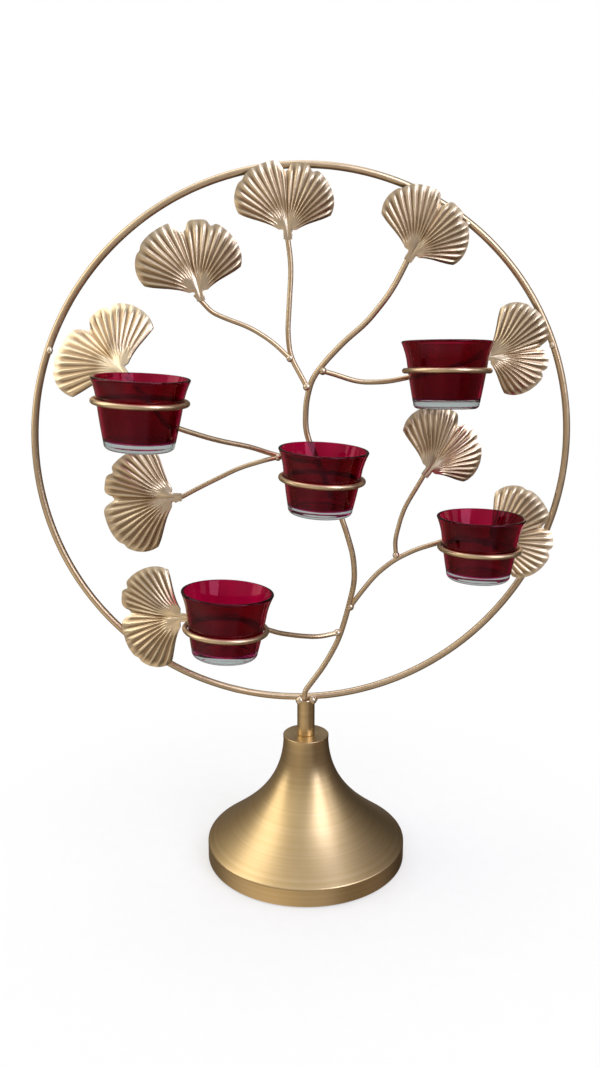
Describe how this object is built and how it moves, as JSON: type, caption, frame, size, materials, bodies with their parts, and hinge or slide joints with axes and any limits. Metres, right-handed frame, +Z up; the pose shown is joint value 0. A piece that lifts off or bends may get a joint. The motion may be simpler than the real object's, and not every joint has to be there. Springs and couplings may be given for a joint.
{
  "type": "tealight holder stand",
  "caption": "Satin gold tree in a hoop on a trumpet base, with stamped fan leaves and flared red glass tealight cups hung in wire rings.",
  "frame": {"origin": "centre of the base's underside, where it rests on the table", "axes": "+Z up, the cups stand forward of the hoop towards -Y, +X to the right seen from the front"},
  "size_m": [0.3779, 0.1761, 0.5018],
  "materials": {
    "rod_gold": "satin gold plate",
    "leaf_gold": "satin champagne gold, stamped",
    "base_gold": "satin brushed gold",
    "weld_gold": "glossy gold weld",
    "red_glass": "clear glass with a red inside coat",
    "pad_felt": "dark felt",
    "fastener_steel": "plain zinc"
  },
  "bodies": {
    "stand": {"base_collar": "base_gold", "base_nut": "fastener_steel", "base_pad": "pad_felt", "base_shell": "base_gold", "base_washer": "fastener_steel", "branch_left": "rod_gold", "branch_lower_left": "rod_gold", "branch_right": "rod_gold", "branch_top": "rod_gold", "branch_upper_right": "rod_gold", "hoop": "rod_gold", "leaf_a": "leaf_gold", "leaf_b": "leaf_gold", "leaf_c": "leaf_gold", "leaf_d": "leaf_gold", "leaf_e": "leaf_gold", "leaf_f": "leaf_gold", "leaf_g": "leaf_gold", "leaf_h": "leaf_gold", "leaf_i": "leaf_gold", "ring_1": "rod_gold", "ring_2": "rod_gold", "ring_3": "rod_gold", "ring_4": "rod_gold", "ring_5": "rod_gold", "stem": "base_gold", "trunk": "rod_gold", "twig_left": "rod_gold", "twig_right": "rod_gold", "twig_top": "rod_gold", "weld_beads": "weld_gold"},
    "cup_1": {"cup_1": "red_glass"},
    "cup_2": {"cup_2": "red_glass"},
    "cup_3": {"cup_3": "red_glass"},
    "cup_4": {"cup_4": "red_glass"},
    "cup_5": {"cup_5": "red_glass"}
  },
  "joints": [
    {"name": "cup_1_lift", "type": "slide", "parent": "stand", "child": "cup_1", "axis": [0.0541, -0.0348, 0.9979], "range_m": [0, 0.0391]},
    {"name": "cup_2_lift", "type": "slide", "parent": "stand", "child": "cup_2", "axis": [0.0052, 0.061, 0.9981], "range_m": [0, 0.0347]},
    {"name": "cup_3_lift", "type": "slide", "parent": "stand", "child": "cup_3", "axis": [0.0523, -0.0436, 0.9977], "range_m": [0, 0.0336]},
    {"name": "cup_4_lift", "type": "slide", "parent": "stand", "child": "cup_4", "axis": [0.061, 0, 0.9981], "range_m": [0, 0.0283]},
    {"name": "cup_5_lift", "type": "slide", "parent": "stand", "child": "cup_5", "axis": [0.0192, 0, 0.9998], "range_m": [0, 0.0317]}
  ]
}
